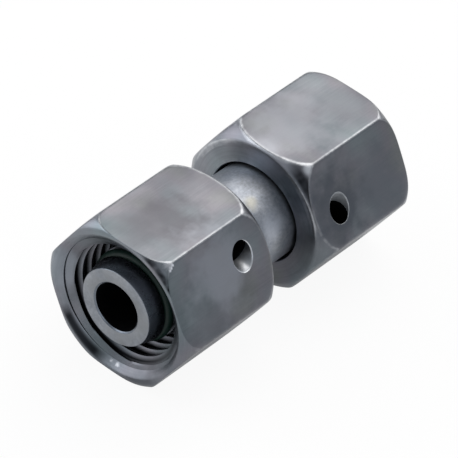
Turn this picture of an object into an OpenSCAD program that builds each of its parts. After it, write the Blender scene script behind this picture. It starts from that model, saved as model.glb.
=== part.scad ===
// Straight union fitting: a turned sleeve with a 24 degree sealing cone at each end, and a hexagon
// swivel nut at each end, held by a round lock wire in a groove shared by nut and sleeve.
// The axis lies along X, the origin is the middle of the sleeve, and +Z points up out of a flat.

/* [Sleeve] */
// Length over the two sealing noses
body_length = 40.1; // [38:0.1:60]
// Diameter of the plain sleeve between the nuts
sleeve_d = 12.15; // [11.8:0.05:12.6]
// Diameter of the flow bore
bore_d = 6.2; // [3:0.1:7]
// Width of the bevel at each mouth of the flow bore
bore_bevel = 0.15; // [0.05:0.05:0.6]
// Diameter of the flat end of each sealing nose
nose_d = 9.85; // [9.6:0.05:10.2]
// Full angle of the sealing cone
cone_angle = 24; // [20:1:30]

/* [Seal ring] */
// Section diameter of the seal ring
ring_section_d = 1.45; // [1:0.05:1.6]
// Height by which the seal ring stands proud of its cone
ring_proud = 0.165; // [0.05:0.005:0.3]
// Distance from the nose end to the middle of the ring groove
ring_from_end = 3.1; // [2.2:0.1:4]
// Room between the seal ring and the walls of its groove
ring_room = 0.2; // [0.05:0.05:0.3]

/* [Nut] */
// Width across the flats
across_flats = 19; // [18.8:0.1:22]
// Diameter across the blunted corners
across_corners = 21.8; // [21.7:0.05:22.5]
// Length of the nut
nut_length = 16.15; // [15.8:0.05:20]
// Distance that the nose stands out of the nut's mouth
nose_stand_out = 0.1; // [0:0.05:2]
// Diameter of the plain bore at the nut's inner end
neck_bore_d = 12.8; // [12.7:0.05:13.4]
// Radial width of the bevel at the mouth of the plain bore
neck_bevel = 0.1; // [0.05:0.05:0.5]
// Radius at which the face at the thread end starts to round off towards the corners
face_round_r = 9.45; // [9:0.05:9.8]
// Length of the rounding's ellipse, along the corners
face_round_length = 2.9; // [1:0.1:4]
// Radius of the flat face at the nut's inner end
inner_face_r = 9.2; // [8.8:0.05:9.4]
// Length of the bevel along the corners at the nut's inner end
inner_bevel_length = 2.3; // [1:0.1:3]

/* [Thread] */
// Nominal diameter of the nut's thread
thread_d = 16; // [15.8:0.1:16.4]
// Pitch of the thread
thread_pitch = 1.5; // [1:0.25:1.5]
// Depth of the threaded stretch, measured from the nut's mouth
thread_depth = 8.2; // [6:0.1:8.6]
// Diameter of the 120 degree countersink at the nut's mouth
countersink_d = 18.1; // [16.2:0.1:18.4]
// Diameter of the clearance groove behind the thread
relief_d = 16.2; // [16.1:0.05:16.6]
// Length of the clearance groove behind the thread
relief_length = 1.2; // [0.8:0.1:1.3]

/* [Lock wire] */
// Diameter of the wire
wire_d = 2.4; // [1.8:0.1:2.4]
// Diameter of the circle that the wire's centre line follows
wire_circle_d = 12.8; // [12.6:0.1:13]
// Clearance between the wire and each half of its groove
wire_clear = 0.08; // [0.05:0.01:0.1]
// Distance from the nut's inner end to the middle of the wire groove
wire_from_end = 4.3; // [3:0.1:5]
// Diameter of the slanted hole that the wire is fed through
feed_hole_d = 3; // [2.7:0.05:3.2]
// Distance of the hole's mouth from the middle of its flat
feed_hole_offset = 1.05; // [0:0.05:2]
// Depth of the wire's tail below the flat, along the hole
tail_depth = 4.5; // [1:0.1:5]
// Angle that the wire covers in its groove
wire_sweep = 300; // [180:1:305]

/* [Hidden] */
$fn = 64;

half_body = body_length / 2;
nut_face = half_body - nose_stand_out;
taper = tan(cone_angle / 2);
cone_length = (sleeve_d - nose_d) / 2 / taper;

ring_circle_r = cone_r(ring_from_end) + ring_proud - ring_section_d / 2;
ring_seat_gap = 0.02;
ring_floor_r = ring_circle_r - ring_section_d / 2 - ring_seat_gap;
ring_groove_half = ring_section_d / 2 + ring_room;

groove_from_mouth = nut_length - wire_from_end;
groove_at = nut_face - groove_from_mouth;
groove_r = wire_d / 2 + wire_clear;
wire_circle_r = wire_circle_d / 2;

// The feed hole's axis touches the wire's circle, which sets its slant against the flat's normal.
flat_r = across_flats / 2;
mouth_turn = atan(feed_hole_offset / flat_r);
feed_slant = asin(wire_circle_r / norm([flat_r, feed_hole_offset])) - mouth_turn;
feed_length = flat_r * cos(feed_slant) - feed_hole_offset * sin(feed_slant);
feed_flat_turn = 240;
hole_run_out = 4;

// The tail is a hair thinner than the ring, so that it can start inside the ring's end.
tail_step = 0.03;
tail_overlap = 0.3;

// Basic profile of a 60 degree metric thread.
thread_height = thread_pitch * sqrt(3) / 2;
minor_r = thread_d / 2 - thread_height * 5 / 8;
root_half = thread_pitch / 16;
flank_lead = 0.15;
crest_half = root_half + (thread_d / 2 - minor_r + flank_lead) * tan(30);
steps_per_turn = 30;
thread_start = -thread_pitch;
thread_run = thread_depth + relief_length / 2 - thread_start;
thread_steps = ceil(thread_run / thread_pitch * steps_per_turn);

countersink_r = countersink_d / 2;
countersink_length = (countersink_r - minor_r) * tan(30);
neck_r = neck_bore_d / 2;
relief_end = thread_depth + relief_length;
relief_r = relief_d / 2;
shoulder_length = (relief_r - neck_r) * tan(30);
corner_r = across_corners / 2;
cut = 1;

// The rounding is an ellipse that would reach a little past the corners, and stops at them.
round_spare = 0.1;
round_r = corner_r - face_round_r + round_spare;
round_end = asin((corner_r - face_round_r) / round_r);
round_steps = 10;

// The bevel has a shallow part next to the face and a steeper part next to the corners.
inner_break_r = inner_face_r + (corner_r - inner_face_r) * 0.7;
inner_break_at = nut_length - inner_bevel_length * 0.52;

steel = [0.55, 0.57, 0.60];
nut_steel = [0.62, 0.64, 0.67];
wire_steel = [0.72, 0.72, 0.70];
seal_green = [0.05, 0.28, 0.22];

// Radius of the sealing cone at a distance from the nose end.
function cone_r(from_end) = nose_d / 2 + from_end * taper;

// Half of the sleeve's outline, from its middle to the flat end of one nose.
module half_sleeve_outline() {
  polygon([
    [0, 0],
    [sleeve_d / 2, 0],
    [sleeve_d / 2, half_body - cone_length],
    [nose_d / 2, half_body],
    [0, half_body]
  ]);
}

// What the seal ring's square groove takes out of a nose.
module ring_groove() {
  rotate_extrude()
    translate([ring_floor_r, half_body - ring_from_end - ring_groove_half])
      square([sleeve_d, 2 * ring_groove_half]);
}

// Bevel at one mouth of a bore, at height z, opening upwards.
module bore_mouth(bore_r, bevel, z) {
  translate([0, 0, z - bevel])
    rotate_extrude()
      polygon([
        [0, 0],
        [bore_r, 0],
        [bore_r + bevel, bevel],
        [bore_r + bevel, bevel + cut],
        [0, bevel + cut]
      ]);
}

// Ring-shaped groove or wire of round section.
module torus(circle_r, section_r) {
  rotate_extrude()
    translate([circle_r, 0])
      circle(r = section_r);
}

module union_body() {
  color(steel)
    rotate([0, 90, 0])
      difference() {
        union() {
          rotate_extrude() half_sleeve_outline();
          mirror([0, 0, 1]) rotate_extrude() half_sleeve_outline();
        }
        cylinder(d = bore_d, h = body_length + 2 * cut, center = true);
        for (turn = [0, 180])
          rotate([turn, 0, 0]) {
            bore_mouth(bore_d / 2, bore_bevel, half_body);
            ring_groove();
            translate([0, 0, groove_at]) torus(wire_circle_r, groove_r);
          }
      }
}

// Outline of the nut's outside as a turned shape: rounded at the thread end, bevelled at the inner end.
module nut_turned_outline() {
  polygon(concat(
    [[0, 0]],
    [for (i = [0 : round_steps])
      let (a = round_end * i / round_steps)
        [face_round_r + round_r * sin(a), face_round_length * (1 - cos(a))]],
    [
      [corner_r, nut_length - inner_bevel_length],
      [inner_break_r, inner_break_at],
      [inner_face_r, nut_length],
      [0, nut_length]
    ]
  ));
}

// Outline of everything that is bored out of the nut: countersink, thread core, relief, shoulder, neck.
module nut_bore_outline() {
  polygon([
    [0, -cut],
    [countersink_r + cut / tan(30), -cut],
    [minor_r, countersink_length],
    [minor_r, thread_depth],
    [relief_r, thread_depth],
    [relief_r, relief_end],
    [neck_r, relief_end + shoulder_length],
    [neck_r, nut_length - neck_bevel],
    [neck_r + neck_bevel + cut, nut_length + cut],
    [0, nut_length + cut]
  ]);
}

// Four corners of the thread groove's section, carried along the helix.
function thread_section(i) =
  let (
    a = 360 * i / steps_per_turn,
    z = thread_start + thread_pitch * i / steps_per_turn,
    inner = minor_r - flank_lead,
    outer = thread_d / 2
  )
  [
    [inner * cos(a), inner * sin(a), z - crest_half],
    [outer * cos(a), outer * sin(a), z - root_half],
    [outer * cos(a), outer * sin(a), z + root_half],
    [inner * cos(a), inner * sin(a), z + crest_half]
  ];

module thread_groove() {
  points = [for (i = [0 : thread_steps]) each thread_section(i)];
  walls = [for (i = [0 : thread_steps - 1], k = [0 : 3])
    let (a = 4 * i + k, b = 4 * i + (k + 1) % 4)
      each [[a, b, b + 4], [a, b + 4, a + 4]]];
  last = 4 * thread_steps;
  ends = [[3, 2, 1, 0], [last, last + 1, last + 2, last + 3]];
  polyhedron(points = points, faces = concat(walls, ends), convexity = 10);
}

// Axis of the feed hole, pointing in from its mouth. Children lie along +Z from the mouth inwards.
module along_feed_hole() {
  rotate([0, 0, feed_flat_turn])
    translate([flat_r, -feed_hole_offset, groove_from_mouth])
      rotate([0, 0, 180 + feed_slant])
        rotate([0, 90, 0])
          children();
}

// The swivel nut with its mouth at the origin and its inner end towards +Z.
module swivel_nut() {
  difference() {
    intersection() {
      rotate([0, 0, 30])
        cylinder(d = across_flats / cos(30), h = nut_length, $fn = 6);
      rotate_extrude() nut_turned_outline();
    }
    rotate_extrude() nut_bore_outline();
    translate([0, 0, groove_from_mouth]) torus(wire_circle_r, groove_r);
    along_feed_hole()
      translate([0, 0, -hole_run_out])
        cylinder(d = feed_hole_d, h = feed_length + hole_run_out);
    thread_groove();
  }
}

// The wire: an open ring in the groove, and a straight tail up the feed hole.
module lock_wire() {
  tangent_turn = feed_flat_turn - (90 - feed_slant);
  translate([0, 0, groove_from_mouth])
    rotate([0, 0, tangent_turn - wire_sweep])
      rotate_extrude(angle = wire_sweep)
        translate([wire_circle_r, 0])
          circle(d = wire_d);
  along_feed_hole()
    translate([0, 0, tail_depth])
      cylinder(r = wire_d / 2 - tail_step, h = feed_length + tail_overlap - tail_depth);
}

// Places what belongs to the front nut, whose mouth faces -X.
module at_front() {
  translate([-nut_face, 0, 0])
    rotate([0, 90, 0])
      children();
}

// Places the same parts at the rear, turned end for end and one flat round.
module at_rear() {
  rotate([-60, 0, 0])
    rotate([0, 180, 0])
      at_front()
        children();
}

module front_nut() {
  color(nut_steel) at_front() swivel_nut();
}

module rear_nut() {
  color(nut_steel) at_rear() swivel_nut();
}

module front_lock_wire() {
  color(wire_steel) at_front() lock_wire();
}

module rear_lock_wire() {
  color(wire_steel) at_rear() lock_wire();
}

module o_ring(side) {
  color(seal_green)
    translate([side * (half_body - ring_from_end), 0, 0])
      rotate([0, 90, 0])
        torus(ring_circle_r, ring_section_d / 2);
}

union_body();
front_nut();
rear_nut();
front_lock_wire();
rear_lock_wire();
o_ring(-1);  // front_o_ring
o_ring(1);  // rear_o_ring
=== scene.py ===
# Straight union fitting with two swivel nuts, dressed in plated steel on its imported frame.
import math

import bmesh
import bpy
from mathutils import Matrix, Vector, noise


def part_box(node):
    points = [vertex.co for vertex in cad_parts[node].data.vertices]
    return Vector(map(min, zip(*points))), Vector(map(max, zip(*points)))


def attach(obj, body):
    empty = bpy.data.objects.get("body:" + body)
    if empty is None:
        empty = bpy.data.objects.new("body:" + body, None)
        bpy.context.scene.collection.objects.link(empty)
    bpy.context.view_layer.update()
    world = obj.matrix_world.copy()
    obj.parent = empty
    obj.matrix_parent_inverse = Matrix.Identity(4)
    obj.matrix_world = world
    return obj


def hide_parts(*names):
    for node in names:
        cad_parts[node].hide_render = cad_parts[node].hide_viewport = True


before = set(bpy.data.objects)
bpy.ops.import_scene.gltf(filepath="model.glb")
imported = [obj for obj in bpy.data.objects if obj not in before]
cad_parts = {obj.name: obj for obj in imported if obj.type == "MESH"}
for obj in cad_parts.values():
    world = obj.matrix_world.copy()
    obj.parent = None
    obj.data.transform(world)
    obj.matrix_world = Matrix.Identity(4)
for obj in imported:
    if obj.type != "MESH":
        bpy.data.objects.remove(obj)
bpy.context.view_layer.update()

mm = 0.001  # lengths are written in millimetres and angles in degrees, unless a note says otherwise
print("frame loaded:", ", ".join(sorted(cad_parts)))


# Small helpers

maths = "ShaderNodeMath"
vectors = "ShaderNodeVectorMath"
mapping = "ShaderNodeMapRange"
noisy = "ShaderNodeTexNoise"
mixing = "ShaderNodeMix"
weldReach = 0.002  # points nearer than this are one point
thinnestFace = 0.0005
hair = 0.00001  # far too little to see
noiseLow, noiseHigh = 0.3, 0.7  # a noise texture's values mostly lie between these
cloudLow, cloudHigh = 0.32, 0.68  # a little narrower, so that clouds stand out


def linearColour(hexText):  # sRGB hex to the linear values that shaders use
    parts = [int(hexText[i:i + 2], 16) / 255 for i in (1, 3, 5)]
    return [c / 12.92 if c <= 0.04045 else ((c + 0.055) / 1.055) ** 2.4 for c in parts] + [1.0]


def addNode(tree, kind, links=None, **settings):  # one node with its settings, values and links
    node = tree.nodes.new(kind)
    for name, value in settings.items():
        setattr(node, name, value)
    for socket, source in (links or {}).items():
        if isinstance(source, bpy.types.Node):
            source = source.outputs[0]
        if isinstance(source, bpy.types.NodeSocket):
            tree.links.new(source, node.inputs[socket])
        else:
            node.inputs[socket].default_value = source
    return node


def softMin(first, second, blend):  # the smaller of two radii, with the edge between them broken
    near = max(blend - abs(first - second), 0.0) / blend
    return min(first, second) - near * near * blend / 4


def clamp(value):
    return max(0.0, min(1.0, value))


def meshFromLists(name, points, faces, edges=()):
    mesh = bpy.data.meshes.new(name)
    mesh.from_pydata([tuple(c * mm for c in p) for p in points], list(edges), faces)
    piece = bpy.data.objects.new(name, mesh)
    bpy.context.scene.collection.objects.link(piece)
    return piece


def weld(piece):  # closes seams, turns all faces outwards and shades it smooth
    shape = bmesh.new()
    shape.from_mesh(piece.data)
    bmesh.ops.remove_doubles(shape, verts=shape.verts, dist=weldReach * mm)
    bmesh.ops.dissolve_degenerate(shape, edges=shape.edges, dist=thinnestFace * mm)
    bmesh.ops.recalc_face_normals(shape, faces=shape.faces)
    shape.to_mesh(piece.data)
    shape.free()
    piece.data.shade_smooth()


def plainMesh(piece):  # what the modifiers make, as a mesh with no modifier left on it
    made = piece.evaluated_get(bpy.context.evaluated_depsgraph_get())
    mesh = bpy.data.meshes.new_from_object(made)
    mesh.name = piece.name
    piece.modifiers.clear()
    piece.data = mesh


def runTree(piece, tree, **values):  # makes the piece what the tree gives for these inputs
    modifier = piece.modifiers.new(tree.name, "NODES")
    modifier.node_group = tree
    for item in tree.interface.items_tree:
        if item.item_type == "SOCKET" and item.in_out == "INPUT":
            key = item.name.replace(" ", "")
            key = key[0].lower() + key[1:]
            if key in values:
                modifier[item.identifier] = values[key]
    plainMesh(piece)


def startTree(name, inputs):  # a geometry tree with named inputs
    tree = bpy.data.node_groups.new(name, "GeometryNodeTree")
    tree.interface.new_socket("Geometry", in_out="INPUT", socket_type="NodeSocketGeometry")
    for label, kind, value in inputs:
        tree.interface.new_socket(label, in_out="INPUT", socket_type=kind).default_value = value
    tree.interface.new_socket("Material", in_out="INPUT", socket_type="NodeSocketMaterial")
    tree.interface.new_socket("Geometry", in_out="OUTPUT", socket_type="NodeSocketGeometry")
    return tree, addNode(tree, "NodeGroupInput").outputs, addNode(tree, "NodeGroupOutput")


def endTree(tree, geometry, given, out):
    solid = addNode(tree, "GeometryNodeRealizeInstances", {"Geometry": geometry})
    dressed = addNode(tree, "GeometryNodeSetMaterial", {"Geometry": solid, "Material": given["Material"]})
    tree.links.new(dressed.outputs["Geometry"], out.inputs["Geometry"])


# Places that come from the frame

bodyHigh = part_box("union_body")[1]
nutLow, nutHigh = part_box("front_nut")
ringLow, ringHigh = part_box("front_o_ring")
halfBody = bodyHigh.x / mm
nutFace = -nutLow.x / mm  # distance of each nut's mouth from the middle
nutLength = (nutHigh.x - nutLow.x) / mm
flatRadius = nutHigh.z / mm
cornerRadius = nutHigh.y / mm
sleeveRadius = bodyHigh.z / mm


# The camera stands where the photograph was taken from

cameraSet = {
    "azimuth": -55.132, "elevation": 41.331, "roll": 8.592,
    "target": (0.325, 0.562, -0.886), "distance": 526.56,
    "lens": 361.6, "sensor": 36.0, "nearest": 10, "farthest": 10000,
}


def makeCamera(view):
    azimuth, elevation, roll = (math.radians(view[k]) for k in ("azimuth", "elevation", "roll"))
    back = Vector((math.sin(azimuth) * math.cos(elevation), -math.cos(azimuth) * math.cos(elevation),
                   math.sin(elevation)))
    right = Vector((math.cos(azimuth), math.sin(azimuth), 0))
    up = back.cross(right)
    turnedRight = right * math.cos(roll) + up * math.sin(roll)
    turnedUp = up * math.cos(roll) - right * math.sin(roll)
    data = bpy.data.cameras.new("camera")
    data.lens = view["lens"]
    data.sensor_width = view["sensor"]
    data.clip_start = view["nearest"] * mm
    data.clip_end = view["farthest"] * mm
    camera = bpy.data.objects.new("camera", data)
    place = (Vector(view["target"]) + back * view["distance"]) * mm
    turn = Matrix((turnedRight, turnedUp, back)).transposed().to_4x4()
    camera.matrix_world = Matrix.Translation(place) @ turn
    bpy.context.scene.collection.objects.link(camera)
    bpy.context.scene.camera = camera


# Light and floor

studio = {
    "worldColour": "#CACDD2", "worldStrength": 0.86,
    # name, direction from the fitting, distance, size, watts, colour
    "lamps": [
        ("overheadSoftbox", (0.56, 0.14, 0.82), 460, 640, 2.2, "#FFFAF5"),
        ("backSoftbox", (-0.45, 0.80, 0.38), 520, 520, 1.5, "#FBFCFF"),
        ("sideFill", (-0.78, -0.30, 0.30), 620, 420, 0.35, "#F4F7FF"),
        ("flatCard", (0.30, -0.92, 0.26), 150, 120, 0.008, "#F6F9FF"),
    ],
    "floorSize": 3000, "paperColour": "#F0F0F0", "paperSeen": "#FEFEFE",
    "paperSeenShare": 0.93, "paperMirroredShare": 0.4,
}


def makeLights(room):
    world = bpy.data.worlds.new("studioAir")
    world.use_nodes = True
    air = world.node_tree.nodes["Background"]
    air.inputs["Color"].default_value = linearColour(room["worldColour"])
    air.inputs["Strength"].default_value = room["worldStrength"]
    bpy.context.scene.world = world
    for name, direction, distance, size, watts, colour in room["lamps"]:
        data = bpy.data.lights.new(name, "AREA")
        data.shape = "DISK"
        data.size = size * mm
        data.energy = watts
        data.color = linearColour(colour)[:3]
        lamp = bpy.data.objects.new(name, data)
        towards = Vector(direction).normalized()
        lamp.location = towards * distance * mm
        lamp.rotation_mode = "QUATERNION"
        lamp.rotation_quaternion = towards.to_track_quat("Z", "Y")
        bpy.context.scene.collection.objects.link(lamp)


def makePaper(room):
    # Matt white paper under the fitting: the eye sees an even white that still keeps a soft shadow.
    material = bpy.data.materials.new("paperFloor")
    material.use_nodes = True
    tree = material.node_tree
    paper = tree.nodes["Principled BSDF"]
    paper.inputs["Base Color"].default_value = linearColour(room["paperColour"])
    paper.inputs["Roughness"].default_value = 1.0
    paper.inputs["Specular IOR Level"].default_value = 0.0
    glow = addNode(tree, "ShaderNodeEmission", {"Color": linearColour(room["paperSeen"]), "Strength": 1.0})
    path = addNode(tree, "ShaderNodeLightPath").outputs
    mirrored = addNode(tree, maths, {0: path["Is Glossy Ray"], 1: path["Is Transmission Ray"]},
                       operation="MAXIMUM")
    dimmer = addNode(tree, maths, {0: mirrored, 1: room["paperMirroredShare"]}, operation="MULTIPLY")
    share = addNode(tree, maths, {0: path["Is Camera Ray"], 1: room["paperSeenShare"], 2: dimmer},
                    operation="MULTIPLY_ADD")
    both = addNode(tree, "ShaderNodeMixShader", {0: share, 1: paper, 2: glow})
    tree.links.new(both.outputs[0], tree.nodes["Material Output"].inputs["Surface"])
    return material


def makeFloor(room):
    half = room["floorSize"] / 2
    ground = -flatRadius  # the nuts lie on their lower flats
    corners = [(-half, -half, ground), (half, -half, ground), (half, half, ground), (-half, half, ground)]
    floor = meshFromLists("floor", corners, [(0, 1, 2, 3)])
    floor.data.materials.append(makePaper(room))


makeCamera(cameraSet)
makeLights(studio)
makeFloor(studio)
bpy.context.scene.view_settings.view_transform = "Standard"
print("camera, light and floor are in place")


# Steel surfaces

def startMaterial(name):
    material = bpy.data.materials.new(name)
    material.use_nodes = True
    tree = material.node_tree
    where = addNode(tree, "ShaderNodeTexCoord")
    return material, tree, tree.nodes["Principled BSDF"], where.outputs["Object"]


def tintPlating(tree, steel, place, cloud):  # cloudy grey with a faint cast of other colours
    cloudy = addNode(tree, mapping, {"Value": cloud, "From Min": cloudLow, "From Max": cloudHigh})
    shade = addNode(tree, mixing, {"Factor": cloudy, 6: linearColour(steel["dark"]),
                    7: linearColour(steel["light"])}, data_type="RGBA")
    # moved aside, so that the cast doesn't follow the cloud
    moved = addNode(tree, vectors, {0: place, 1: [c * mm for c in (31, 17, 23)]}, operation="ADD")
    cast = addNode(tree, noisy, {"Vector": moved, "Scale": 1 / (steel["castSize"] * mm), "Detail": 1.5,
                   "Roughness": 0.5})
    tint = addNode(tree, "ShaderNodeValToRGB", {"Fac": cast})
    ramp = tint.color_ramp
    ramp.elements[0].position = noiseLow
    ramp.elements[1].position = noiseHigh
    ramp.elements[0].color = linearColour(steel["casts"][0])
    ramp.elements[1].color = linearColour(steel["casts"][-1])
    step = (noiseHigh - noiseLow) / (len(steel["casts"]) - 1)
    for i, hexText in enumerate(steel["casts"][1:-1]):
        ramp.elements.new(noiseLow + step * (i + 1)).color = linearColour(hexText)
    tinted = addNode(tree, mixing, {"Factor": steel["castStrength"], 6: shade.outputs[2], 7: tint},
                     data_type="RGBA", blend_type="SOFT_LIGHT")
    return tinted.outputs[2]


def addMarks(tree, steel, place, at, radius, turned):
    # Rings round the axis where the surface was turned, lengthwise lines elsewhere, and grain over both.
    ringPlace = addNode(tree, "ShaderNodeCombineXYZ", {"X": at["X"], "Y": radius})
    stretch = (0.03, 1.0, 1.0)  # draws the lines out along x
    linePlace = addNode(tree, vectors, {0: place, 1: stretch}, operation="MULTIPLY")
    rings, lines = (addNode(tree, noisy, {"Vector": along, "Scale": 1 / (steel["markSize"] * mm),
                    "Detail": 2.0, "Roughness": 0.6}) for along in (ringPlace, linePlace))
    marks = addNode(tree, mixing, {0: turned, 2: lines, 3: rings}, data_type="FLOAT")
    grain = addNode(tree, noisy, {"Vector": place, "Scale": 1 / (steel["grain"] * mm), "Detail": 3.0,
                    "Roughness": 0.65})
    return addNode(tree, mixing, {0: steel["grainShare"], 2: marks, 3: grain}, data_type="FLOAT")


def addPatches(tree, patches, place, turned, coat):  # soft patches of another colour at listed places; the lists say what each paints
    wide, fine, spread, core = 2.5, 0.25, 1.2, 0.25  # ragged edges' sizes, their reach, the full middle
    swirls = {}
    for size in (wide, fine):
        swirl = addNode(tree, noisy, {"Vector": place, "Scale": 1 / (size * mm), "Detail": 3.0})
        swirls[size] = addNode(tree, vectors, {0: swirl.outputs["Color"], 1: (0.5, 0.5, 0.5)},
                               operation="SUBTRACT")
    for spot, reach, hexText, share, onTurned in patches:
        swirl = swirls[fine if reach < 1 else wide]
        ragged = addNode(tree, vectors, {0: swirl, "Scale": spread * reach * mm}, operation="SCALE")
        shifted = addNode(tree, vectors, {0: place, 1: ragged}, operation="ADD")
        away = addNode(tree, vectors, {0: shifted, 1: [c * mm for c in spot]}, operation="DISTANCE")
        near = addNode(tree, mapping, {"Value": away.outputs["Value"], "From Min": core * reach * mm,
                       "From Max": reach * mm, "To Min": share, "To Max": 0.0},
                       interpolation_type="SMOOTHSTEP")
        if onTurned:
            near = addNode(tree, maths, {0: near, 1: turned}, operation="MULTIPLY")
        coat = addNode(tree, mixing, {"Factor": near, 6: coat, 7: linearColour(hexText)},
                       data_type="RGBA").outputs[2]
    return coat


def darkenThreadRoots(tree, rootDark, at, radius, coat):  # the thread's roots darker, to near black
    depth = addNode(tree, maths, {0: at["X"]}, operation="ABSOLUTE")
    # what is measured, where the oil begins to change, where it is done, and its share before that
    bands = ((depth, rootDark["start"], rootDark["start"] + rootDark["startFade"], 0.0),
             (depth, rootDark["stop"], rootDark["stop"] + rootDark["stopFade"], 1.0),
             (radius, rootDark["crest"], rootDark["root"], 0.0),
             (radius, rootDark["outside"], rootDark["outside"] + rootDark["outsideFade"], 1.0))
    rootDarkShare = 1.0
    for value, begin, done, before in bands:
        band = addNode(tree, mapping, {"Value": value, "From Min": begin * mm, "From Max": done * mm,
                       "To Min": before, "To Max": 1 - before})
        rootDarkShare = addNode(tree, maths, {0: rootDarkShare, 1: band}, operation="MULTIPLY")
    return addNode(tree, mixing, {"Factor": rootDarkShare, 6: coat, 7: linearColour(rootDark["colour"])},
                   data_type="RGBA").outputs[2]


def brightenWornAndLitEdges(tree, rubbing, place, coat):  # bright ragged lines where the attribute says: scuffed metal and painted highlight
    wear = addNode(tree, "ShaderNodeAttribute", attribute_name="wear")
    nibble = addNode(tree, noisy, {"Vector": place, "Scale": 1 / (rubbing["patchSize"] * mm),
                     "Detail": 2.0, "Roughness": 0.6})
    uneven = addNode(tree, mapping, {"Value": nibble, "From Min": noiseLow, "From Max": noiseHigh,
                     "To Min": rubbing["least"], "To Max": 1.0})
    wornAndLit = addNode(tree, maths, {0: wear.outputs["Fac"], 1: uneven}, operation="MULTIPLY")
    bright = addNode(tree, mapping, {"Value": wornAndLit, "From Min": rubbing["starts"],
                     "From Max": rubbing["full"]})
    return addNode(tree, mixing, {"Factor": bright, 6: coat, 7: linearColour(rubbing["colour"])},
                   data_type="RGBA").outputs[2]


def makeSteel(name, steel):
    material, tree, shader, place = startMaterial(name)
    at = addNode(tree, "ShaderNodeSeparateXYZ", {0: place}).outputs
    across = addNode(tree, "ShaderNodeCombineXYZ", {"Y": at["Y"], "Z": at["Z"]})
    radius = addNode(tree, vectors, {0: across}, operation="LENGTH").outputs["Value"]
    turned = addNode(tree, "ShaderNodeAttribute", attribute_name="turned").outputs["Fac"]
    cloud = addNode(tree, noisy, {"Vector": place, "Scale": 1 / (steel["cloud"] * mm), "Detail": 2.5,
                    "Roughness": 0.5})
    height = addMarks(tree, steel, place, at, radius, turned)
    # marks and grain also show a little in the colour, and turned faces are painted lighter, a painted
    # light
    fine = addNode(tree, mapping, {"Value": height, "From Min": noiseLow, "From Max": noiseHigh,
                   "To Min": 1 - steel["fineShade"], "To Max": 1 + steel["fineShade"]})
    turnedLight = addNode(tree, mapping, {"Value": turned, "To Min": 1.0, "To Max": steel["turnedLift"]})
    lift = addNode(tree, maths, {0: fine, 1: turnedLight}, operation="MULTIPLY")
    tinted = tintPlating(tree, steel, place, cloud)
    coat = addNode(tree, vectors, {0: tinted, "Scale": lift}, operation="SCALE").outputs[0]
    if steel["patches"]:
        coat = addPatches(tree, steel["patches"], place, turned, coat)
    if steel["threadOil"]:
        coat = darkenThreadRoots(tree, steel["threadOil"], at, radius, coat)
    if steel["rubbing"]:
        coat = brightenWornAndLitEdges(tree, steel["rubbing"], place, coat)
    if steel["film"]:  # painted shade on top, as dark bands, where the attribute says
        film = addNode(tree, "ShaderNodeAttribute", attribute_name="oilFilm").outputs["Fac"]
        coat = addNode(tree, mixing, {"Factor": film, 6: coat, 7: linearColour(steel["film"])},
                       data_type="RGBA").outputs[2]
    tree.links.new(coat, shader.inputs["Base Color"])
    shader.inputs["Metallic"].default_value = 1.0
    rough = addNode(tree, mapping, {"Value": cloud, "From Min": noiseLow, "From Max": noiseHigh,
                    "To Min": steel["roughness"] + steel["roughSpread"],
                    "To Max": steel["roughness"] - steel["roughSpread"]})
    tree.links.new(rough.outputs[0], shader.inputs["Roughness"])
    bump = addNode(tree, "ShaderNodeBump", {"Height": height, "Strength": steel["bump"],
                   "Distance": steel["markDepth"] * mm})
    tree.links.new(bump.outputs[0], shader.inputs["Normal"])
    return material


# What a steel has unless its own list says otherwise. Real drill, lathe and drawing marks are about
# 0.03 mm apart, too fine to show, so markSize draws them three to five times as coarse.
commonSteel = {
    "casts": ["#7F807E", "#828078"], "castStrength": 0.4, "cloud": 1.2, "castSize": 1.5,
    "grain": 0.2, "grainShare": 0.5, "markSize": 0.1, "roughSpread": 0.05, "bump": 0.1,
    "markDepth": 0.02, "fineShade": 0.05, "turnedLift": 1.0,
    "patches": [], "threadOil": None, "rubbing": None, "film": None,
}
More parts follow.
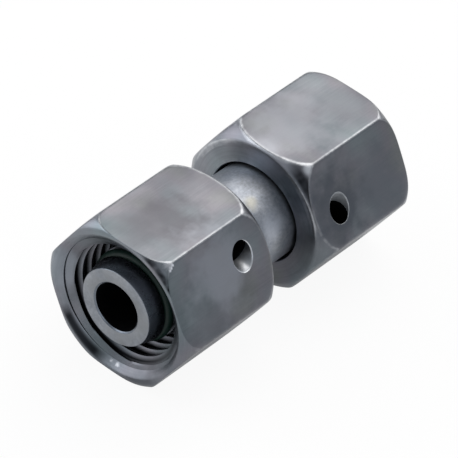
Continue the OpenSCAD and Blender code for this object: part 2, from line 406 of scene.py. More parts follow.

# Forged hexagon steel with a thin zinc-nickel plating: a soft cloudy grey with a faint rose and green
# cast, rings on its turned ends, bright edge lines of scuffed metal and painted highlight, painted light
# and shade in patches and bands, and darker thread roots.
nutSteel = makeSteel("platedForgedSteel", {
    **commonSteel, "dark": "#74797F", "light": "#8A8E93",
    "casts": ["#7A8380", "#808080", "#8A8081", "#88847A"], "castStrength": 0.9,
    "cloud": 8.0, "castSize": 6.0, "grain": 0.3, "grainShare": 0.3, "markSize": 0.12,
    # the turned faces' lift is painted light
    "roughness": 0.36, "roughSpread": 0.06, "bump": 0.08, "fineShade": 0.10, "turnedLift": 1.3,
    # the thread's darker roots: stretch along x from the middle, radii of crest, root and outside, and how
    # each end fades
    "threadOil": {"start": 10.4, "startFade": 0.3, "stop": 18.3, "stopFade": 0.4, "crest": 7.3,
                  "root": 7.7, "outside": 8.15, "outsideFade": 0.1, "colour": "#0E0F11"},
    # bright lines along the edges: scuffed metal and painted highlight
    "rubbing": {"patchSize": 0.9, "least": 0.45, "starts": 0.15, "full": 0.85, "colour": "#B0B3B7"},
    # near black of the painted dark bands, a painted shade
    "film": "#0E1013",
    # place, reach, colour, share, whether it keeps to turned faces
    "patches": [
        # patches of another tone on the upper flats
        ((-13.1, -0.7, 9.5), 5.5, "#535358", 0.8, False),
        ((-16.7, 1.3, 9.5), 4.0, "#5F6065", 0.6, False),
        ((9.5, 0.5, 9.5), 7.5, "#787B81", 0.7, False),
        ((16.7, -1.1, 9.5), 4.0, "#707378", 0.4, False),
        # painted light on the front nut's holed flat and painted shade on the rear nut's
        ((-12.0, -7.6, 6.0), 7.0, "#7F838A", 0.8, False),
        ((8.0, -8.6, 4.2), 7.0, "#474C53", 0.85, False),
        ((15.3, -9.0, 3.5), 6.0, "#595E65", 0.7, False),
        # painted light and painted shade at the front nut's mouth and the rear nut's inner end
        ((-19.6, 8.6, 0.0), 4.0, "#8E939B", 0.6, False),
        ((-19.8, -4.5, -8.0), 3.5, "#505358", 0.7, False),
        ((3.8, -0.4, 9.0), 3.5, "#94989F", 0.5, False),
        ((3.8, -8.6, 0.0), 4.5, "#5A5D62", 0.5, False),
        # two small scuffs low on the front mouth's rim
        ((-19.5, 0.1, -8.5), 0.35, "#D4D6DA", 0.6, False),
        ((-19.5, -0.8, -8.5), 0.4, "#D4D6DA", 0.6, False),
        # darker along the lower edge of the front nut's holed flat
        ((-15.4, -10.3, 1.2), 4.0, "#5A5D62", 0.5, False),
        # painted highlights: bright tongues below the corner tips, and a bright line at the front nut's tip
        ((5.5, -5.5, 9.1), 1.1, "#C8CCD2", 0.9, True),
        ((-18.6, -5.35, 9.35), 0.95, "#A8ACB2", 0.8, True),
        ((-18.3, -5.6, 9.2), 0.3, "#E0E3E8", 0.9, False),
        ((-18.6, -5.72, 9.0), 0.3, "#E0E3E8", 0.9, False),
        ((-18.85, -5.8, 8.8), 0.25, "#E0E3E8", 0.9, False),
    ],
})

# Bar steel turned and then plated the same way: lighter and grainy, so its highlight is broad and
# mottled, with one warm painted highlight and a patch of painted light.
sleeveSteel = makeSteel("platedTurnedSteel", {
    **commonSteel, "dark": "#999EA5", "light": "#ADB1B7",
    "casts": ["#7C8084", "#808082", "#838280"], "castStrength": 0.8,
    "cloud": 1.6, "castSize": 2.4, "grain": 0.35, "grainShare": 0.75, "markSize": 0.15,
    "roughness": 0.42, "roughSpread": 0.07, "bump": 0.25, "fineShade": 0.22,
    "patches": [
        # a warm painted highlight and a lighter patch of painted light on the middle, and both noses greyer
        ((-0.4, -2.3, 5.6), 1.2, "#A8A594", 0.5, False),
        ((0.6, -5.2, 3.0), 2.6, "#BCC1CA", 0.6, False),
        ((-20.5, 0.0, 0.0), 9.0, "#818487", 0.9, False),
        ((20.5, 0.0, 0.0), 9.0, "#818487", 0.9, False),
    ],
})

# Steel finely turned and polished for sealing: smoother than the rest of the sleeve, and darker as painted
# shade for its place inside the nut, so it shades evenly from light to nearly black.
shadedConeSteel = makeSteel("fineTurnedSteel", {
    **commonSteel, "dark": "#6E747D", "light": "#7C828A",
    "casts": ["#7E8180", "#828180"], "castStrength": 0.5,
    "cloud": 1.6, "castSize": 2.4, "grain": 0.3, "grainShare": 0.3,
    "roughness": 0.28, "roughSpread": 0.04, "bump": 0.08, "fineShade": 0.06,
})

# Steel cut by a drill: bare and bright, so the hole's wall and rim catch one clear streak of light.
drilledSteel = makeSteel("drilledSteel", {
    **commonSteel, "dark": "#B4B8BD", "light": "#CBCED2", "roughness": 0.34,
})

# The same drilled wall scuffed and dirty, as in the rear nut: an even pale grey with no streak.
dullSteel = makeSteel("dullDrilledSteel", {
    **commonSteel, "dark": "#A2A6AB", "light": "#B6BABE", "roughness": 0.68,
})

# Drilled steel painted near black as the shade deep in the holes and in the bore: nearly black and matt.
deepShadeSteel = makeSteel("oiledDrilledSteel", {
    **commonSteel, "dark": "#101113", "light": "#191A1C", "roughness": 0.75,
})

# Hard-drawn spring wire, painted near black as the shade of its hole: a dark brown grey with a narrow
# sheen.
shadedWireSteel = makeSteel("drawnSteelWire", {
    **commonSteel, "dark": "#1B1A18", "light": "#2A2825", "castStrength": 0.5, "cloud": 1.5,
    "grainShare": 0.6, "roughness": 0.3, "roughSpread": 0.04,
})


# Rubber

sealSet = {"dark": "#041410", "light": "#08261F", "cloud": 1.2, "roughness": 0.55, "sheen": 0.3}


def makeRubber(name, rubber):
    # Moulded fluorocarbon rubber: dark green, slightly waxy and not shiny.
    material, tree, shader, place = startMaterial(name)
    bloom = addNode(tree, noisy, {"Vector": place, "Scale": 1 / (rubber["cloud"] * mm), "Detail": 2.0})
    colour = addNode(tree, mixing, {"Factor": bloom, 6: linearColour(rubber["dark"]),
                     7: linearColour(rubber["light"])}, data_type="RGBA")
    tree.links.new(colour.outputs[2], shader.inputs["Base Color"])
    shader.inputs["Roughness"].default_value = rubber["roughness"]
    shader.inputs["Specular IOR Level"].default_value = rubber["sheen"]
    return material


sealRubber = makeRubber("mouldedSealRubber", sealSet)
print("materials are made")


# Geometry trees, with their inputs in metres and radians

def makeTurnedTree():  # sweeps a half section once round the axis, as a lathe would
    tree, given, out = startTree("turnedPart", [("Path Radius", "NodeSocketFloat", 0.01),
                                                ("Columns", "NodeSocketInt", 192)])
    section = addNode(tree, "GeometryNodeMeshToCurve", {"Mesh": given["Geometry"]})
    path = addNode(tree, "GeometryNodeCurvePrimitiveCircle", {"Resolution": given["Columns"],
                   "Radius": given["Path Radius"]})
    swept = addNode(tree, "GeometryNodeCurveToMesh", {"Curve": path, "Profile Curve": section})
    endTree(tree, swept, given, out)
    return tree


def makeSealTree():  # a closed ring of round section
    tree, given, out = startTree("sealRing", [("Circle Radius", "NodeSocketFloat", 0.005),
                                              ("Section Radius", "NodeSocketFloat", 0.0007),
                                              ("Columns", "NodeSocketInt", 128),
                                              ("Section Sides", "NodeSocketInt", 32)])
    path = addNode(tree, "GeometryNodeCurvePrimitiveCircle", {"Resolution": given["Columns"],
                   "Radius": given["Circle Radius"]})
    section = addNode(tree, "GeometryNodeCurvePrimitiveCircle", {"Resolution": given["Section Sides"],
                      "Radius": given["Section Radius"]})
    swept = addNode(tree, "GeometryNodeCurveToMesh", {"Curve": path, "Profile Curve": section})
    endTree(tree, swept, given, out)
    return tree


def makeWireTree():  # an open ring whose end runs on as a straight tail along the tangent
    tree, given, out = startTree("lockWire", [("Circle Radius", "NodeSocketFloat", 0.0064),
                                              ("Wire Radius", "NodeSocketFloat", 0.0012),
                                              ("Tangent Angle", "NodeSocketFloat", 0.0),
                                              ("Sweep", "NodeSocketFloat", 5.2),
                                              ("Tail Length", "NodeSocketFloat", 0.003),
                                              ("Points", "NodeSocketInt", 160),
                                              ("Section Sides", "NodeSocketInt", 28)])
    circle = given["Circle Radius"]
    rod = addNode(tree, "GeometryNodeMeshLine", {"Count": given["Points"]})
    steps = addNode(tree, maths, {0: given["Points"], 1: 1.0}, operation="SUBTRACT")
    index = addNode(tree, "GeometryNodeInputIndex")
    share = addNode(tree, maths, {0: index, 1: steps}, operation="DIVIDE")
    arcLength = addNode(tree, maths, {0: given["Sweep"], 1: circle}, operation="MULTIPLY")
    whole = addNode(tree, maths, {0: arcLength, 1: given["Tail Length"]}, operation="ADD")
    along = addNode(tree, maths, {0: share, 1: whole}, operation="MULTIPLY")
    onArc = addNode(tree, maths, {0: along, 1: arcLength}, operation="MINIMUM")
    past = addNode(tree, maths, {0: along, 1: onArc}, operation="SUBTRACT")
    turned = addNode(tree, maths, {0: onArc, 1: circle}, operation="DIVIDE")
    begin = addNode(tree, maths, {0: given["Tangent Angle"], 1: given["Sweep"]}, operation="SUBTRACT")
    angle = addNode(tree, maths, {0: begin, 1: turned}, operation="ADD")
    cosine, sine = (addNode(tree, maths, {0: angle}, operation=wave) for wave in ("COSINE", "SINE"))
    minusSine = addNode(tree, maths, {0: sine, 1: -1.0}, operation="MULTIPLY")
    outwards = addNode(tree, "ShaderNodeCombineXYZ", {"X": cosine, "Y": sine})
    tangent = addNode(tree, "ShaderNodeCombineXYZ", {"X": minusSine, "Y": cosine})
    ringPoint = addNode(tree, vectors, {0: outwards, "Scale": circle}, operation="SCALE")
    tailPoint = addNode(tree, vectors, {0: tangent, "Scale": past}, operation="SCALE")
    point = addNode(tree, vectors, {0: ringPoint, 1: tailPoint}, operation="ADD")
    bent = addNode(tree, "GeometryNodeSetPosition", {"Geometry": rod, "Position": point})
    line = addNode(tree, "GeometryNodeMeshToCurve", {"Mesh": bent})
    section = addNode(tree, "GeometryNodeCurvePrimitiveCircle", {"Resolution": given["Section Sides"],
                      "Radius": given["Wire Radius"]})
    swept = addNode(tree, "GeometryNodeCurveToMesh", {"Curve": line, "Profile Curve": section,
                    "Fill Caps": True})
    endTree(tree, swept, given, out)
    return tree


def makeThreadTree():  # lays an inner thread's true helix between the mouth and the clearance groove
    lengths = [("Pitch", 0.0015), ("Crest Radius", 0.0072), ("Root Radius", 0.008),
               ("Mouth Radius", 0.0084), ("Relief Radius", 0.0081), ("Step Depth", 0.0008),
               ("Depth", 0.0082)]
    tree, given, out = startTree("nutThread", [(label, "NodeSocketFloat", size) for label, size in lengths]
                                 + [("Turns", "NodeSocketInt", 7), ("Columns", "NodeSocketInt", 240)])
    pitch = given["Pitch"]
    rows = 17  # across one pitch
    # a flat strip: X runs along the helix, Y over one pitch with the crest in the middle
    cells = addNode(tree, maths, {0: given["Turns"], 1: given["Columns"], 2: 1.0}, operation="MULTIPLY_ADD")
    strip = addNode(tree, "GeometryNodeMeshGrid", {"Size X": 1.0, "Size Y": 1.0, "Vertices X": cells,
                    "Vertices Y": rows})
    position = addNode(tree, "GeometryNodeInputPosition")
    at = addNode(tree, "ShaderNodeSeparateXYZ", {0: position}).outputs
    fromStart = addNode(tree, maths, {0: at["X"], 1: 0.5}, operation="ADD")
    turn = addNode(tree, maths, {0: fromStart, 1: given["Turns"]}, operation="MULTIPLY")
    angle = addNode(tree, maths, {0: turn, 1: math.tau}, operation="MULTIPLY")
    upStrip = addNode(tree, maths, {0: turn, 1: at["Y"]}, operation="ADD")
    pitches = addNode(tree, maths, {0: upStrip, 1: 0.5}, operation="SUBTRACT")
    rawDepth = addNode(tree, maths, {0: pitches, 1: pitch}, operation="MULTIPLY")
    # the 60 degree flank between a crest flat of a quarter pitch and the root
    offCrest = addNode(tree, maths, {0: at["Y"]}, operation="ABSOLUTE")
    fromCrest = addNode(tree, maths, {0: offCrest, 1: pitch}, operation="MULTIPLY")
    halfCrest = addNode(tree, maths, {0: pitch, 1: 0.125}, operation="MULTIPLY")
    pastCrest = addNode(tree, maths, {0: fromCrest, 1: halfCrest}, operation="SUBTRACT")
    slope = addNode(tree, maths, {0: pastCrest, 1: math.sqrt(3)}, operation="MULTIPLY")
    flank = addNode(tree, maths, {0: slope, 1: 0.0}, operation="MAXIMUM")
    outOfCrest = addNode(tree, maths, {0: flank, 1: given["Crest Radius"]}, operation="ADD")
    thread = addNode(tree, maths, {0: outOfCrest, 1: given["Root Radius"]}, operation="MINIMUM")
    notBefore = addNode(tree, maths, {0: rawDepth, 1: given["Step Depth"]}, operation="MAXIMUM")
    depth = addNode(tree, maths, {0: notBefore, 1: given["Depth"]}, operation="MINIMUM")
    # the countersink at the mouth and the clearance groove at the end cut the thread off
    pastStep = addNode(tree, maths, {0: depth, 1: given["Step Depth"]}, operation="SUBTRACT")
    coneDrop = addNode(tree, maths, {0: pastStep, 1: math.sqrt(3)}, operation="MULTIPLY")
    cone = addNode(tree, maths, {0: given["Mouth Radius"], 1: coneDrop}, operation="SUBTRACT")
    sunk = addNode(tree, maths, {0: thread, 1: cone}, operation="MAXIMUM")
    nearEnd = addNode(tree, maths, {0: given["Depth"], 1: hair * mm}, operation="SUBTRACT")
    atEnd = addNode(tree, maths, {0: rawDepth, 1: nearEnd}, operation="GREATER_THAN")
    relief = addNode(tree, maths, {0: atEnd, 1: given["Relief Radius"]}, operation="MULTIPLY")
    wall = addNode(tree, maths, {0: sunk, 1: relief}, operation="MAXIMUM")
    cosine, sine = (addNode(tree, maths, {0: angle}, operation=wave) for wave in ("COSINE", "SINE"))
    x, y = (addNode(tree, maths, {0: wall, 1: part}, operation="MULTIPLY") for part in (cosine, sine))
    point = addNode(tree, "ShaderNodeCombineXYZ", {"X": x, "Y": y, "Z": depth})
    bent = addNode(tree, "GeometryNodeSetPosition", {"Geometry": strip, "Position": point})
    both = addNode(tree, "GeometryNodeJoinGeometry")
    tree.links.new(bent.outputs[0], both.inputs[0])
    tree.links.new(given["Geometry"], both.inputs[0])
    joined = addNode(tree, "GeometryNodeMergeByDistance", {"Geometry": both, "Distance": weldReach * mm})
    endTree(tree, joined, given, out)
    return tree


# The sleeve, turned from bar

sleeve = {
    "noseRadius": 4.925, "coneAngle": 24.0, "edgeBreak": 0.08, "edgeSteps": 4,
    "boreRadius": 3.1, "boreBevel": 0.15, "boreRimWidth": 0.05, "boreRimDepth": 0.03, "boreStart": 2.0,
    "ringFromEnd": 3.1, "ringSection": 1.45, "ringRoom": 0.2, "ringSeat": 0.02, "ringEdge": 0.05,
    "grooveAt": 8.1, "grooveCircle": 6.4, "grooveRadius": 1.28, "grooveSteps": 16,
    "shoulderBreak": 0.1, "columns": 192, "pathRadius": 10.0, "sharpFrom": 32.0,
}
ringRadius = sleeve["ringSection"] / 2
ringCircle = (ringHigh.z - ringLow.z) / 2 / mm - ringRadius
coneSlope = math.tan(math.radians(sleeve["coneAngle"] / 2))
coneLength = (sleeveRadius - sleeve["noseRadius"]) / coneSlope


def coneRadius(fromEnd):
    return sleeve["noseRadius"] + fromEnd * coneSlope


def sleeveHalfSection():  # (x, radius) from the middle to one end, then back inside along the bore
    points = [(0.0, sleeveRadius)]
    # the wire groove's round floor
    grooveMouth = math.acos((sleeveRadius - sleeve["grooveCircle"]) / sleeve["grooveRadius"])
    reach = math.pi - grooveMouth
    for i in range(sleeve["grooveSteps"] + 1):
        turn = -reach + 2 * reach * i / sleeve["grooveSteps"]
        points.append((sleeve["grooveAt"] + sleeve["grooveRadius"] * math.sin(turn),
                       sleeve["grooveCircle"] - sleeve["grooveRadius"] * math.cos(turn)))
    # the shoulder where the cone begins
    shoulder = sleeve["shoulderBreak"]
    points.append((halfBody - coneLength - shoulder, sleeveRadius))
    points.append((halfBody - coneLength + shoulder, coneRadius(coneLength - shoulder)))
    # the seal ring's square groove
    edge = sleeve["ringEdge"]
    floorRadius = ringCircle - ringRadius - sleeve["ringSeat"]
    deep = sleeve["ringFromEnd"] + ringRadius + sleeve["ringRoom"]
    shallow = sleeve["ringFromEnd"] - ringRadius - sleeve["ringRoom"]
    points += [(halfBody - deep - edge, coneRadius(deep + edge)),
               (halfBody - deep, coneRadius(deep) - edge),
               (halfBody - deep, floorRadius),
               (halfBody - shallow, floorRadius),
               (halfBody - shallow, coneRadius(shallow) - edge),
               (halfBody - shallow + edge, coneRadius(shallow - edge))]
    # the nose's broken edge, square to the cone at first
    for i in range(sleeve["edgeSteps"] + 1):
        turn = math.radians((90 - sleeve["coneAngle"] / 2) * (1 - i / sleeve["edgeSteps"]))
        points.append((halfBody - sleeve["edgeBreak"] * (1 - math.cos(turn)),
                       sleeve["noseRadius"] - sleeve["edgeBreak"] * (1 - math.sin(turn))))
    # the bore's bevel, and a point further in where its long faces begin
    bevel = sleeve["boreBevel"]
    points += [(halfBody, sleeve["boreRadius"] + bevel + sleeve["boreRimWidth"]),
               (halfBody - sleeve["boreRimDepth"], sleeve["boreRadius"] + bevel),
               (halfBody - bevel, sleeve["boreRadius"]),
               (halfBody - bevel - sleeve["boreStart"], sleeve["boreRadius"])]
    return points


def makeSleeve():
    half = sleeveHalfSection()
    outline = [(-x, r) for x, r in reversed(half)] + half[1:]
    # the sweep lays x outwards from its path and y downwards along the axis
    points = [(r - sleeve["pathRadius"], -x, 0) for x, r in outline]
    edges = [(i, (i + 1) % len(points)) for i in range(len(points))]
    piece = meshFromLists("sleeveSteelBody", points, [], edges)
    runTree(piece, makeTurnedTree(), pathRadius=sleeve["pathRadius"] * mm, columns=sleeve["columns"],
            material=sleeveSteel)
    piece.data.transform(Matrix.Rotation(math.pi / 2, 4, "Y"))
    weld(piece)
    piece.data.materials.append(shadedConeSteel)
    piece.data.materials.append(deepShadeSteel)
    onBore = sleeve["boreRadius"] + 0.02
    for face in piece.data.polygons:
        x, y, z = (c / mm for c in face.center)
        facesEnd = abs(face.normal.x) > 0.9
        if math.hypot(y, z) < onBore:
            face.material_index = 2  # the bore is painted near black as shade
        elif abs(x) > halfBody - coneLength and not facesEnd:
            face.material_index = 1  # the cones, but not the flat noses
    piece.data.set_sharp_from_angle(angle=math.radians(sleeve["sharpFrom"]))
    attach(piece, "sleeve")
    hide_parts("union_body")


makeSleeve()
print("sleeve is turned")


# The seal rings

seal = {"columns": 128, "sides": 32}  # its size is with the sleeve's groove


def makeSeals():
    tree = makeSealTree()
    for name, node, side in (("frontSealRing", "front_o_ring", -1), ("rearSealRing", "rear_o_ring", 1)):
        piece = meshFromLists(name, [], [])
        runTree(piece, tree, circleRadius=ringCircle * mm, sectionRadius=ringRadius * mm,
                columns=seal["columns"], sectionSides=seal["sides"], material=sealRubber)
        place = Matrix.Translation((side * (halfBody - sleeve["ringFromEnd"]) * mm, 0, 0))
        piece.data.transform(place @ Matrix.Rotation(math.pi / 2, 4, "Y"))
        weld(piece)
        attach(piece, "sleeve")
        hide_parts(node)


makeSeals()
print("seal rings are in their grooves")


# The swivel nuts. A nut is made in its own place, with z from its mouth inwards

nut = {
    "columns": 240, "crowding": 0.65,  # how strongly columns draw together at the corners
    "mouthRadius": 8.4, "mouthStep": 0.85, "mouthBreak": 0.04,
    "dishRadius": 9.25, "dishDepth": 0.52, "dishSteps": 9, "dishCurve": 1.3,
    "stepHighAt": 130.0, "stepSpread": 0.9, "stepLeast": 0.06,
    "pitch": 1.5, "nominalRadius": 8.0, "threadDepth": 8.2, "threadTurns": 7,
    "reliefRadius": 8.1, "reliefLength": 1.2, "reliefAngle": 30.0,
    "neckRadius": 6.4, "neckBevel": 0.1, "grooveSteps": 14,
    "faceRound": 9.45, "faceInset": 0.1,
    "roundSpare": 0.1, "roundLength": 2.9, "roundSteps": 15, "roundCurve": 1.5,
    "innerFace": 9.2, "bevelReach": 2.18, "bevelLength": 1.52, "bevelBlend": 0.16, "bevelCurve": 1.8,
    "innerRings": (8.6, 7.6), "cornerFillet": 0.45, "edgeBreak": 0.2, "bevelBreak": 0.3,
    "flatRows": (0.0, 0.06, 0.14, 0.3, 0.6, 1.2, 2.2), "middleRows": 6, "sharpFrom": 30.0,
}
hole = {  # the slanted feed hole for the wire; "over" is how far outside the flat its drill starts
    "radius": 1.5, "offset": 1.05, "flat": 240.0, "rim": 0.1, "sides": 72, "over": 3.0,
    "brightDepth": 0.95, "overlap": 0.3, "oilDepth": 0.04,
}
wire = {
    "radius": 1.2, "sweep": 300.0, "tailDepth": 4.5, "points": 160, "sides": 28, "sharpFrom": 40.0,
}
edgeWearAndHighlight = {  # widths and strengths of the bright lines along a nut's edges: scuffed metal and painted highlight
    "width": 0.17, "spread": 1.8, "tongue": 0.9, "alongArc": 2.2,
    "flatEdge": 0.8, "mouthArc": 0.8, "innerArc": 1.3, "innerArcLeast": 0.7,
    "ridge": 1.2, "ridgeAt": 0.07, "ridgeWidth": 0.06, "neckEdge": 0.4, "neckBore": 0.3,
    "below": 0.4, "upperFrom": 8.0, "upperOver": 1.2,
    "rimBand": 0.18, "rimHeight": 5.2, "rimReach": 4.0,
}
# Dark bands of painted shade on turned faces, standing for reflected shadow, in the fitting's own frame:
# stretch along x, middle and half span round the axis, radius and width of the band, how dark it is and how
# ragged.
paintedDarkBands = [
    {"start": -20.2, "stop": -19.15, "middle": -58.0, "halfSpan": 27.0, "radius": 8.9, "width": 0.42,
     "share": 0.95, "ragged": 0.0},
    {"start": -20.2, "stop": -19.3, "middle": 122.0, "halfSpan": 19.0, "radius": 9.93, "width": 0.33,
     "share": 1.0, "ragged": 0.35},
    {"start": 3.7, "stop": 5.5, "middle": 137.0, "halfSpan": 27.0, "radius": 9.85, "width": 0.52,
     "share": 0.97, "ragged": 0.1},
]
paintedDarkFullness = 1.6  # above 1 keeps a painted band's middle even
paintedDarkMottle = 1.7  # patches to a millimetre in a ragged painted band
grooveDepth = nutFace - sleeve["grooveAt"]
# a metric thread is five eighths as deep as its sharp triangle
crestRadius = nut["nominalRadius"] - nut["pitch"] * math.sqrt(3) / 2 * 5 / 8
faceReach = cornerRadius - nut["faceRound"] + nut["roundSpare"]
# the feed hole slants so that its axis meets the wire's circle as a tangent
slant = (math.asin(sleeve["grooveCircle"] / math.hypot(flatRadius, hole["offset"]))
         - math.atan(hole["offset"] / flatRadius))
holeLength = flatRadius * math.cos(slant) - hole["offset"] * math.sin(slant)


def frontPlace():
    return Matrix.Translation((-nutFace * mm, 0, 0)) @ Matrix.Rotation(math.pi / 2, 4, "Y")


def rearPlace():
    return Matrix.Rotation(-math.pi / 3, 4, "X") @ Matrix.Rotation(math.pi, 4, "Y") @ frontPlace()


def columnTurn(j, crowd):  # column j's angle, and its angle from the nearest corner when crowded
    perSide = nut["columns"] // 6
    corner = math.floor(j / perSide) * perSide + perSide // 2
    even = (j - corner) / (perSide / 2)
    bunched = math.copysign((1 - nut["crowding"]) * abs(even) + nut["crowding"] * even * even, even)
    turn = math.radians(60 * corner / perSide + 30 * (even * (1 - crowd) + bunched * crowd))
    return turn, abs(bunched) * math.radians(30)


def hexRadius(fromCorner):  # radius of the hexagon with rounded corners, at an angle from a corner
    fillet = nut["cornerFillet"]
    centre = (flatRadius - fillet) / math.cos(math.radians(30))
    if abs(fromCorner) < math.atan2(fillet / 2, centre + fillet * math.cos(math.radians(30))):
        return centre * math.cos(fromCorner) + math.sqrt(fillet ** 2 - (centre * math.sin(fromCorner)) ** 2)
    return flatRadius / math.cos(math.radians(30) - abs(fromCorner))


def roundProfile(z):  # turned outside near the mouth
    turn = math.acos(max(-1.0, 1 - z / nut["roundLength"])) if z < nut["roundLength"] else math.pi / 2
    return nut["faceRound"] + faceReach * math.sin(turn)


def bevelProfile(z):  # turned outside near the inner end, z from that end
    reach = max(nut["bevelReach"] * (1 - math.exp(-z / nut["bevelLength"])), 1e-6)
    return nut["innerFace"] + reach - nut["bevelBlend"] ** 2 / 4 / reach


def wearAndHighlightAt(z, radius, cornerTurn, flatStart, flatStop):  # how bright an edge near this point is: scuffed metal, with painted highlight on fillets and tongues
    fromCorner = cornerTurn * radius
    pastFlat = max(flatStart - z, z - flatStop)  # above zero on the turned ends
    line = edgeWearAndHighlight["flatEdge"] * math.exp(-(fromCorner / edgeWearAndHighlight["width"]) ** 2)
    if pastFlat > 0:
        line = math.exp(-(fromCorner / edgeWearAndHighlight["width"] / edgeWearAndHighlight["spread"]) ** 2
                        - (pastFlat / edgeWearAndHighlight["tongue"]) ** 2)
    nearCorner = math.exp(-(fromCorner / edgeWearAndHighlight["alongArc"]) ** 2)
    if z < nutLength / 2:
        arc = edgeWearAndHighlight["mouthArc"] * math.exp(-(pastFlat / edgeWearAndHighlight["width"]) ** 2) * nearCorner
    else:
        arc = (edgeWearAndHighlight["innerArc"] * math.exp(-(pastFlat / edgeWearAndHighlight["width"] / edgeWearAndHighlight["spread"]) ** 2)
               * max(edgeWearAndHighlight["innerArcLeast"], nearCorner))
    fromRidge = nutLength - z - edgeWearAndHighlight["ridgeAt"]  # the rim of the inner face
    ridge = edgeWearAndHighlight["ridge"] * math.exp(-(fromRidge / edgeWearAndHighlight["ridgeWidth"]) ** 2)
    return max(line, arc, ridge)


def outsideColumn(j):  # rows of z, radius, turn, wear and turned share, from the mouth to the inner face
    turn, cornerTurn = columnTurn(j, 1.0)
    side = hexRadius(cornerTurn)
    turnEnd = math.asin(min(1.0, (side - nut["faceRound"]) / faceReach))
    flatStart = nut["roundLength"] * (1 - math.cos(turnEnd))
    bevelEnd = -nut["bevelLength"] * math.log(1 - (side - nut["innerFace"]) / nut["bevelReach"])
    flatStop = nutLength - bevelEnd
    steps = nut["roundSteps"]
    rows = []
    for i in range(steps):  # the rounding, closer together towards the flat
        part = 1 - (1 - i / steps) ** nut["roundCurve"]
        z = nut["roundLength"] * (1 - math.cos(turnEnd * part))
        rows.append((z, softMin(roundProfile(z), side, nut["edgeBreak"]), 1.0))
    for step in nut["flatRows"]:
        z = flatStart + step
        rows.append((z, softMin(roundProfile(z), side, nut["edgeBreak"]), 0.0))
    flatMiddle = flatStop - flatStart - 2 * nut["flatRows"][-1]
    for i in range(1, nut["middleRows"]):
        rows.append((flatStart + nut["flatRows"][-1] + flatMiddle * i / nut["middleRows"], side, 0.0))
    for step in reversed(nut["flatRows"]):
        rows.append((flatStop - step, softMin(bevelProfile(bevelEnd + step), side, nut["bevelBreak"]), 0.0))
    for i in range(1, steps):
        z = bevelEnd * (1 - i / steps) ** nut["bevelCurve"]
        rows.append((nutLength - z, softMin(bevelProfile(z), side, nut["bevelBreak"]), 1.0))
    return [(z, r, turn, wearAndHighlightAt(z, r, cornerTurn, flatStart, flatStop), lathe) for z, r, lathe in rows]


def mouthColumn(straight, between):  # rows of the mouth's step, its dish and the face round it
    mouth, bevel = nut["mouthRadius"], nut["mouthBreak"]
    # the step is high on one side only: elsewhere the dish runs down almost to its foot
    high = clamp(0.5 + nut["stepSpread"] * math.cos(straight - math.radians(nut["stepHighAt"])))
    deep = nut["dishDepth"] + (nut["mouthStep"] - nut["dishDepth"] - nut["stepLeast"]) * (1 - high)
    rows = [(nut["mouthStep"], mouth, straight, 0.0, 1.0), (deep + bevel, mouth, straight, 0.0, 1.0)]
    for i in range(nut["dishSteps"] + 1):
        out = i / nut["dishSteps"]
        rows.append((deep * (1 - out) ** nut["dishCurve"],
                     mouth + bevel + (nut["dishRadius"] - mouth - bevel) * out, straight, 0.0, 1.0))
    return rows + [(0.0, nut["faceRound"] - nut["faceInset"], between, 0.0, 1.0)]


def insideColumn(straight, between, bunched):  # rows of the inner face, neck, wire groove and relief
    wide, narrow = nut["innerRings"]
    rows = [(nutLength, wide, bunched, 0.0, 1.0),
            (nutLength, narrow, between, 0.0, 1.0),
            (nutLength, nut["neckRadius"] + nut["neckBevel"], straight, edgeWearAndHighlight["neckEdge"], 1.0),
            (nutLength - nut["neckBevel"], nut["neckRadius"], straight, edgeWearAndHighlight["neckBore"], 1.0)]
    circle, radius, steps = sleeve["grooveCircle"], sleeve["grooveRadius"], nut["grooveSteps"]
    reach = math.acos((nut["neckRadius"] - circle) / radius)
    for i in range(steps + 1):
        turn = reach - 2 * reach * i / steps
        rows.append((grooveDepth + radius * math.sin(turn), circle + radius * math.cos(turn),
                     straight, 0.0, 1.0))
    reliefEnd = nut["threadDepth"] + nut["reliefLength"]
    shoulder = (nut["reliefRadius"] - nut["neckRadius"]) * math.tan(math.radians(nut["reliefAngle"]))
    return rows + [(reliefEnd + shoulder, nut["neckRadius"], straight, 0.0, 1.0),
                   (reliefEnd, nut["reliefRadius"], straight, 0.0, 1.0),
                   (nut["threadDepth"], nut["reliefRadius"], straight, 0.0, 1.0)]


def nutShell():  # everything but the thread, from the mouth round to the relief
    columns = []
    for j in range(nut["columns"]):
        straight, bunched = columnTurn(j, 0.0)[0], columnTurn(j, 1.0)[0]
        between = (straight + bunched) / 2
        columns.append(mouthColumn(straight, between) + outsideColumn(j)
                       + insideColumn(straight, between, bunched))
    rows = len(columns[0])
    everyRow = [row for column in columns for row in column]
    points = [(r * math.cos(turn), r * math.sin(turn), z) for z, r, turn, wear, lathe in everyRow]
    faces = []
    for j in range(nut["columns"]):
        k = (j + 1) % nut["columns"]
        faces += [(j * rows + i, j * rows + i + 1, k * rows + i + 1, k * rows + i) for i in range(rows - 1)]
    return points, faces, [row[3] for row in everyRow], [row[4] for row in everyRow]


def makeCutter(name, steel, rings, place):  # a closed drill between two rings of points
    count = hole["sides"]
    faces = [(i, (i + 1) % count, count + (i + 1) % count, count + i) for i in range(count)]
    faces += [tuple(range(count - 1, -1, -1)), tuple(range(count, 2 * count))]
    piece = meshFromLists(name, rings[0] + rings[1], faces)
    placeInMetres = Matrix(place)
    placeInMetres.translation = place.translation * mm
    piece.data.transform(placeInMetres)
    weld(piece)
    piece.data.materials.append(steel)
    return piece


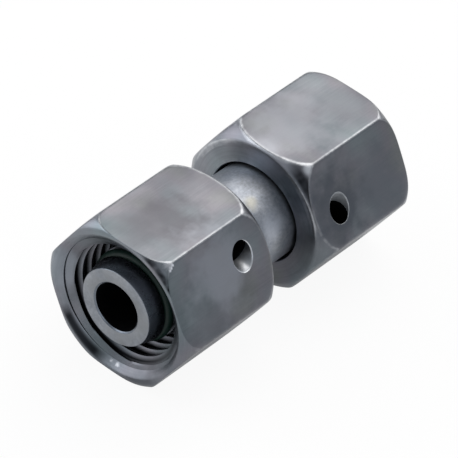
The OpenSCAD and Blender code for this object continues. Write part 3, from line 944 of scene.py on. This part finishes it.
def feedHoleCutters():  # the slanted drill in two stretches, and a small bevel round its mouth
    onFlat = Matrix.Rotation(math.radians(hole["flat"]), 4, "Z") @ Matrix.Translation(
        (flatRadius, -hole["offset"], grooveDepth))
    alongHole = onFlat @ (Matrix.Rotation(math.pi + slant, 4, "Z") @ Matrix.Rotation(math.pi / 2, 4, "Y"))
    turns = [math.tau * i / hole["sides"] for i in range(hole["sides"])]
    # the two stretches overlap and differ a little in radius, so that no wall is left between them
    bright, radius = hole["brightDepth"], hole["radius"]
    stretches = (("drill", drilledSteel, -hole["over"], bright + hole["overlap"], radius),
                 # past the bright stretch the wall is painted near black as shade
                 ("deepDrill", deepShadeSteel, bright, holeLength, radius + hole["oilDepth"]))
    cutters = []
    for name, steel, start, stop, wide in stretches:
        rings = [[(wide * math.cos(turn), wide * math.sin(turn), h) for turn in turns]
                 for h in (start, stop)]
        cutters.append(makeCutter(name, steel, rings, alongHole))
    rim = hole["rim"]
    long = radius / math.cos(slant)  # the slant draws the hole's mouth out to an oval
    rings = [[(h, (long + wider) * math.cos(turn), (radius + wider) * math.sin(turn)) for turn in turns]
             for h, wider in ((rim, 2 * rim), (-rim, 0.0))]
    cutters.append(makeCutter("rim", drilledSteel, rings, onFlat))
    return cutters


def makeNut():
    points, faces, wear, turned = nutShell()
    piece = meshFromLists("nut", points, faces)
    for label, values in (("wear", wear), ("turned", turned)):
        piece.data.attributes.new(label, "FLOAT", "POINT").data.foreach_set("value", values)
    runTree(piece, makeThreadTree(), pitch=nut["pitch"] * mm, crestRadius=crestRadius * mm,
            rootRadius=nut["nominalRadius"] * mm, mouthRadius=nut["mouthRadius"] * mm,
            reliefRadius=nut["reliefRadius"] * mm, stepDepth=nut["mouthStep"] * mm,
            depth=nut["threadDepth"] * mm, turns=nut["threadTurns"], columns=nut["columns"],
            material=nutSteel)
    weld(piece)
    piece.data.materials.clear()
    piece.data.materials.append(nutSteel)
    cutters = feedHoleCutters()
    for cutter in cutters:
        cut = piece.modifiers.new(cutter.name, "BOOLEAN")
        cut.material_mode = "TRANSFER"
        cut.operation = "DIFFERENCE"
        cut.solver = "EXACT"
        cut.object = cutter
    bpy.context.view_layer.update()
    plainMesh(piece)
    for cutter in cutters:
        bpy.data.objects.remove(cutter)
    piece.data.shade_smooth()
    piece.data.set_sharp_from_angle(angle=math.radians(nut["sharpFrom"]))
    deepShaded = [i for i, steel in enumerate(piece.data.materials) if steel == deepShadeSteel]
    for face in piece.data.polygons:  # the many-sided deep walls shade best as they are
        if face.material_index in deepShaded:
            face.use_smooth = False
    return piece


def paintedDarkAt(x, y, z):  # how dark the painted shade lies on a turned face at this point
    radius = math.hypot(y, z)
    dark = 0.0
    if radius <= nut["mouthRadius"]:
        return dark
    for film in paintedDarkBands:
        if film["start"] < x < film["stop"]:
            fromMiddle = (math.degrees(math.atan2(z, y)) - film["middle"]) / film["halfSpan"]
            ends = clamp(paintedDarkFullness * (1 - fromMiddle ** 2))
            mottle = 0.5 + noise.noise(Vector((x, y, z)) * paintedDarkMottle)
            patchy = max(0.0, 1 - film["ragged"] * mottle)
            band = math.exp(-((radius - film["radius"]) / film["width"]) ** 4)
            dark = max(dark, film["share"] * patchy * ends * band)
    return dark


def wearAndHighlightShareAt(x, z):  # edge lines are weaker below; the upper side and the inner face's rim lower down get them in full, as painted highlight
    if abs(abs(x) - (nutFace - nutLength)) < edgeWearAndHighlight["rimBand"]:
        return max(0.0, 1 - (abs(z - edgeWearAndHighlight["rimHeight"]) / edgeWearAndHighlight["rimReach"]) ** 2)
    up = clamp((z - edgeWearAndHighlight["upperFrom"]) / edgeWearAndHighlight["upperOver"])
    return edgeWearAndHighlight["below"] + (1 - edgeWearAndHighlight["below"]) * up * up * (3 - 2 * up)


def dressNut(piece):  # painted dark bands and bright edge lines by their places on the whole fitting, so the two nuts differ
    film = piece.data.attributes.new("oilFilm", "FLOAT", "POINT").data
    turned = piece.data.attributes["turned"].data
    wear = piece.data.attributes["wear"].data
    for vertex, dark, lathe, wornAndLit in zip(piece.data.vertices, film, turned, wear):
        x, y, z = (c / mm for c in vertex.co)
        if lathe.value > 0.5:
            dark.value = paintedDarkAt(x, y, z)
        wornAndLit.value *= wearAndHighlightShareAt(x, z)


def placeNuts():
    front = makeNut()
    front.name = "frontSwivelNut"
    rear = bpy.data.objects.new("rearSwivelNut", front.data.copy())
    bpy.context.scene.collection.objects.link(rear)
    for i, steel in enumerate(rear.data.materials):
        if steel == drilledSteel:
            rear.data.materials[i] = dullSteel
    for piece, place, node in ((front, frontPlace(), "front_nut"), (rear, rearPlace(), "rear_nut")):
        piece.data.transform(place)
        dressNut(piece)
        smooth = piece.modifiers.new("evenNormals", "WEIGHTED_NORMAL")
        smooth.keep_sharp = True
        plainMesh(piece)
        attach(piece, node + "_with_wire")
        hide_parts(node)
        print(piece.name, len(piece.data.polygons), "faces")


placeNuts()
print("nuts are on")


# The lock wires

def placeWires():
    tree = makeWireTree()
    tangent = math.radians(hole["flat"] - 90) + slant
    for name, place, node in (("frontLockWire", frontPlace(), "front"),
                              ("rearLockWire", rearPlace(), "rear")):
        piece = meshFromLists(name, [], [])
        runTree(piece, tree, circleRadius=sleeve["grooveCircle"] * mm, wireRadius=wire["radius"] * mm,
                tangentAngle=tangent, sweep=math.radians(wire["sweep"]),
                tailLength=(holeLength - wire["tailDepth"]) * mm, points=wire["points"],
                sectionSides=wire["sides"], material=shadedWireSteel)
        piece.data.transform(place @ Matrix.Translation((0, 0, grooveDepth * mm)))
        weld(piece)
        piece.data.set_sharp_from_angle(angle=math.radians(wire["sharpFrom"]))
        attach(piece, node + "_nut_with_wire")
        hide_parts(node + "_lock_wire")


placeWires()
print("lock wires are in their grooves")
